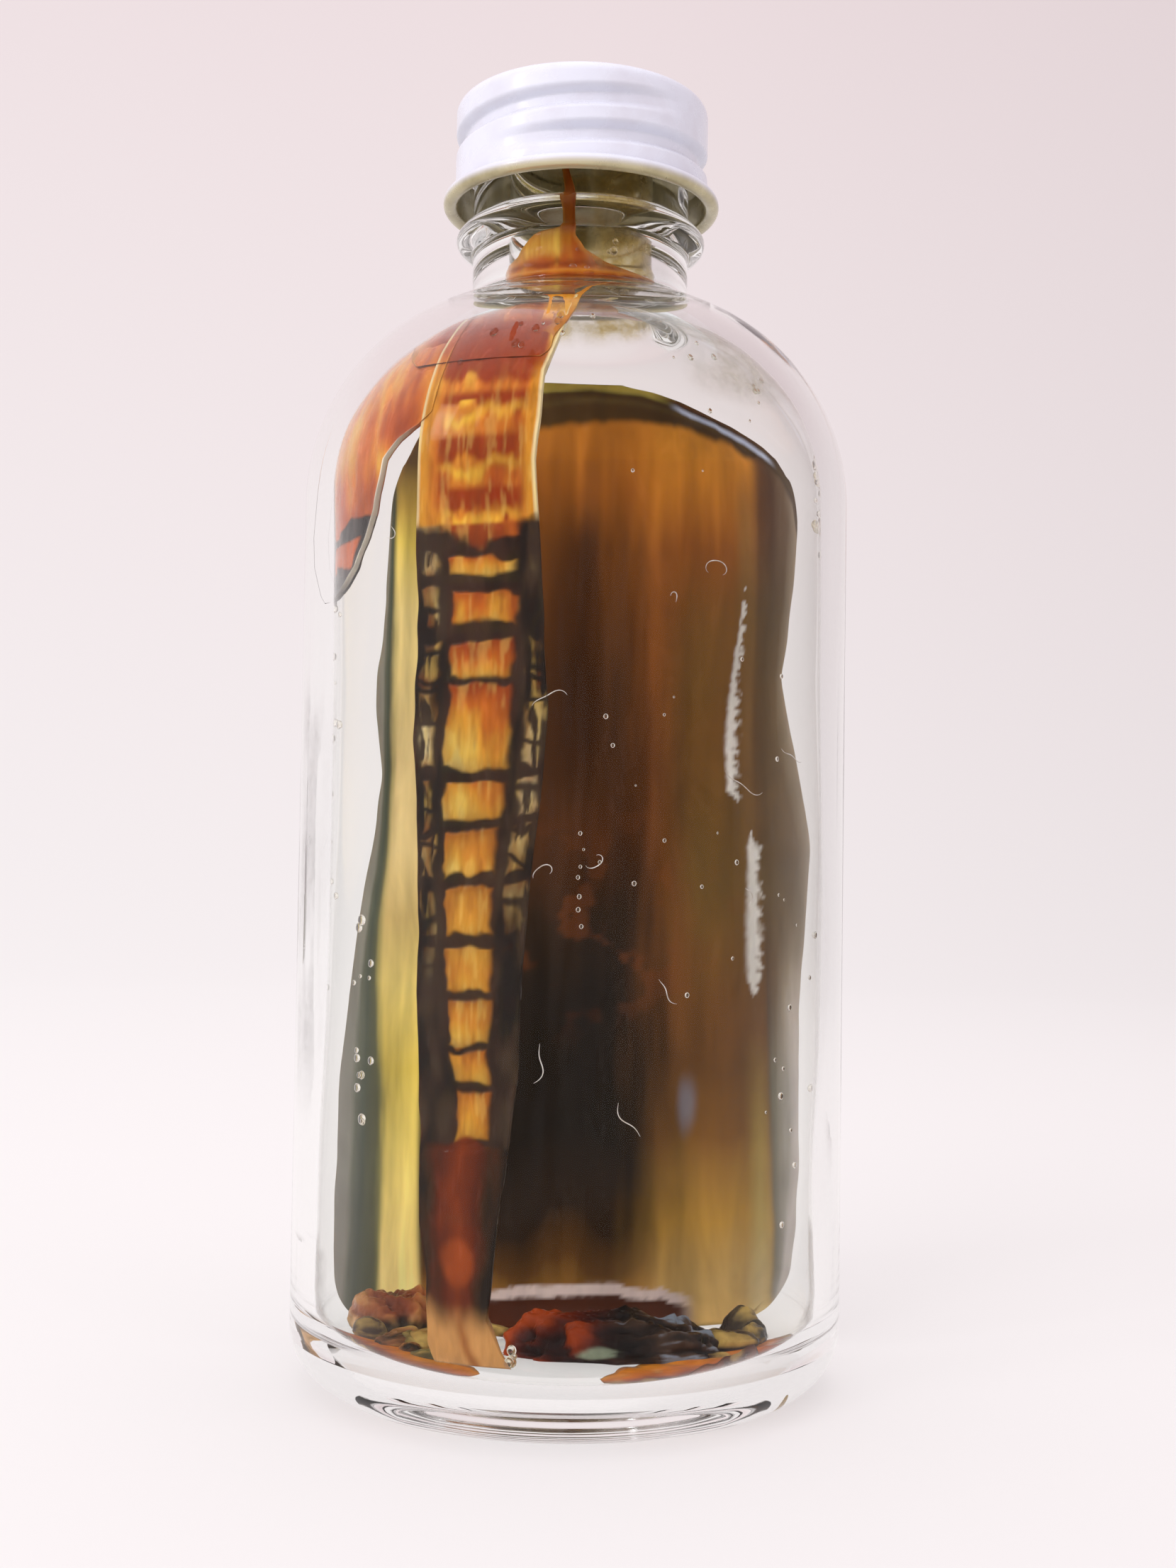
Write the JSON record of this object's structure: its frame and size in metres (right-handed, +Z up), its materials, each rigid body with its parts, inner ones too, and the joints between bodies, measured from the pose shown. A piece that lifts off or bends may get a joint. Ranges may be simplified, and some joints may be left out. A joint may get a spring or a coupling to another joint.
{
  "type": "specimen jar",
  "caption": "Round-shouldered clear glass specimen jar with a metal screw cap and liner, holding a banded specimen, set amber medium and sediment.",
  "frame": {"origin": "centre of the base, on the ring the jar stands on", "axes": "+Z up along the jar's axis to the cap; -Y is the front, where the specimen clings to the wall; +X is to the right seen from the front"},
  "size_m": [0.0486, 0.0486, 0.1138],
  "materials": {
    "clear_glass": "clear, polished",
    "cap_coating": "glossy white enamel outside, gold lacquer inside",
    "liner_board": "matt pulp board",
    "liner_facing": "satin film",
    "amber_medium": "glossy, translucent amber to olive",
    "specimen_skin": "wet, banded orange, tan and black-brown",
    "orange_resin": "glossy, translucent orange",
    "sediment": "crumbled, damp brown"
  },
  "bodies": {
    "jar": {"glass_bottle": "clear_glass", "set_medium": "amber_medium", "specimen_trunk": "specimen_skin", "specimen_tail": "specimen_skin", "neck_tissue": "specimen_skin", "heel_resin": "orange_resin", "sediment_clump_right": "sediment", "sediment_clump_left": "sediment", "sediment_flakes": "sediment"},
    "liner": {"liner_board": "liner_board", "liner_facing": "liner_facing"},
    "cap": {"cap_shell": "cap_coating"}
  },
  "joints": [
    {"name": "cap_rise", "type": "slide", "parent": "jar", "child": "liner", "axis": [0, 0, 1], "range_m": [0, 0.004]},
    {"name": "cap_turn", "type": "hinge", "parent": "liner", "child": "cap", "pos_m": [0, 0, 0.1085], "axis": [0, 0, 1], "range_deg": [0, 450]}
  ],
  "couplings": [
    {"joint": "cap_rise", "follows": "cap_turn", "m_per_rad": 0.00050532}
  ]
}
